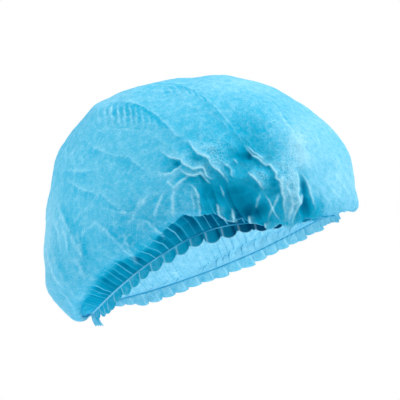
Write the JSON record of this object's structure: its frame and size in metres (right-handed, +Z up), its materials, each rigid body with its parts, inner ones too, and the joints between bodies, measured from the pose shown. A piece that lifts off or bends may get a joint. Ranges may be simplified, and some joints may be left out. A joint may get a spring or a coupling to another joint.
{
  "type": "disposable bouffant cap",
  "caption": "Puffed, pleated non-woven bouffant cap in its worn shape, open underneath, with gathered elastic edges, free pleated ruffles and a flat seal at brow and nape.",
  "frame": {"origin": "the middle of the head opening, half way between the seal at the brow and the seal at the nape", "axes": "+Z up and +Y to the nape as the cap is worn on an upright head, the brow at -Y and the wearer's right side at -X"},
  "size_m": [0.2193, 0.2357, 0.1812],
  "materials": {
    "spunbond_fabric": "thin light-blue spunbond non-woven, slightly see-through, matt",
    "elastic_thread": "thin stretched elastic thread, dyed blue"
  },
  "bodies": {
    "root": {"crown": "spunbond_fabric", "right_ruffle": "spunbond_fabric", "left_ruffle": "spunbond_fabric", "right_elastic": "elastic_thread", "left_elastic": "elastic_thread", "nape_weld": "spunbond_fabric", "brow_weld": "spunbond_fabric"}
  },
  "joints": []
}
